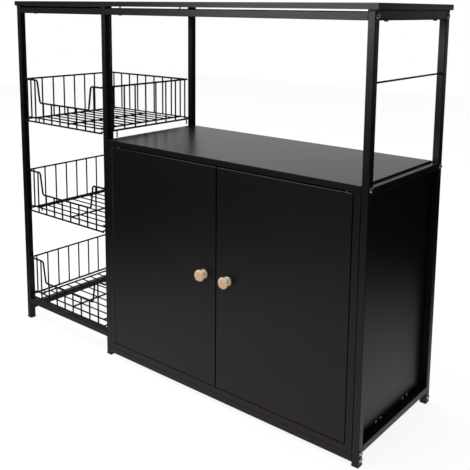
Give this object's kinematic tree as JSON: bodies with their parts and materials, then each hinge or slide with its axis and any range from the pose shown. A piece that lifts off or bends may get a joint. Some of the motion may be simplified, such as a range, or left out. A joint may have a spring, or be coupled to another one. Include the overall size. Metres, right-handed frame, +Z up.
{
  "type": "kitchen storage cabinet",
  "caption": "Free-standing kitchen cabinet: steel-tube frame with pull-out wire baskets beside a cupboard with hinged doors, an open worktop bay and a top board",
  "frame": {"origin": "on the floor, under the centre of the whole cabinet's box", "axes": "+X to the right along the cabinet's width as seen from the front, +Y from the front to the back, +Z up; the doors and basket fronts face -Y"},
  "size_m": [1.112, 0.352, 0.91],
  "materials": {
    "black_steel": "black satin powder coat",
    "coated_wire": "black coated steel wire",
    "black_board": "black melamine-faced board, satin",
    "beech": "pale turned beech, clear matt lacquer",
    "zinc_steel": "bright zinc plate",
    "black_plastic": "moulded black plastic"
  },
  "bodies": {
    "frame": {"back_left_post": "black_steel", "back_lower_rail_basket_bay": "black_steel", "back_lower_rail_cupboard_bay": "black_steel", "back_middle_post": "black_steel", "back_panel": "black_board", "back_right_post": "black_steel", "back_top_rail_basket_bay": "black_steel", "back_top_rail_cupboard_bay": "black_steel", "basket_runners": "black_steel", "corner_brackets": "zinc_steel", "cupboard_floor": "black_board", "door_catches": "black_plastic", "feet": "black_plastic", "frame_bolts": "zinc_steel", "front_left_post": "black_steel", "front_lower_rail_basket_bay": "black_steel", "front_lower_rail_cupboard_bay": "black_steel", "front_middle_post": "black_steel", "front_right_post": "black_steel", "front_top_rail_basket_bay": "black_steel", "front_top_rail_cupboard_bay": "black_steel", "hanging_rod": "black_steel", "left_side_panel": "black_board", "lower_side_rails": "black_steel", "panel_screws": "zinc_steel", "pivot_bushes": "black_plastic", "rail_plugs": "zinc_steel", "right_side_panel": "black_board", "top_board": "black_board", "top_screws": "zinc_steel", "top_side_rails": "black_steel", "top_spacers": "black_plastic", "worktop": "black_board", "worktop_back_rail": "black_steel", "worktop_side_rails": "black_steel"},
    "left_door": {"left_door": "black_board", "left_door_pins": "zinc_steel", "left_knob": "beech", "left_knob_screw": "zinc_steel", "left_strike_plate": "zinc_steel"},
    "right_door": {"right_door": "black_board", "right_door_pins": "zinc_steel", "right_knob": "beech", "right_knob_screw": "zinc_steel", "right_strike_plate": "zinc_steel"},
    "upper_basket": {"upper_basket_back": "coated_wire", "upper_basket_floor": "coated_wire", "upper_basket_front": "coated_wire", "upper_basket_left_side": "coated_wire", "upper_basket_right_side": "coated_wire"},
    "middle_basket": {"middle_basket_back": "coated_wire", "middle_basket_floor": "coated_wire", "middle_basket_front": "coated_wire", "middle_basket_left_side": "coated_wire", "middle_basket_right_side": "coated_wire"},
    "lower_basket": {"lower_basket_back": "coated_wire", "lower_basket_floor": "coated_wire", "lower_basket_front": "coated_wire", "lower_basket_left_side": "coated_wire", "lower_basket_right_side": "coated_wire"}
  },
  "joints": [
    {"name": "left_door_hinge", "type": "hinge", "parent": "frame", "child": "left_door", "pos_m": [-0.1501, -0.1445, 0.29775], "axis": [0, 0, -1], "range_deg": [0, 90]},
    {"name": "right_door_hinge", "type": "hinge", "parent": "frame", "child": "right_door", "pos_m": [0.5001, -0.1445, 0.29775], "axis": [0, 0, 1], "range_deg": [0, 90]},
    {"name": "upper_basket_slide", "type": "slide", "parent": "frame", "child": "upper_basket", "axis": [0, -1, 0], "range_m": [0, 0.2]},
    {"name": "middle_basket_slide", "type": "slide", "parent": "frame", "child": "middle_basket", "axis": [0, -1, 0], "range_m": [0, 0.2]},
    {"name": "lower_basket_slide", "type": "slide", "parent": "frame", "child": "lower_basket", "axis": [0, -1, 0], "range_m": [0, 0.2]}
  ]
}
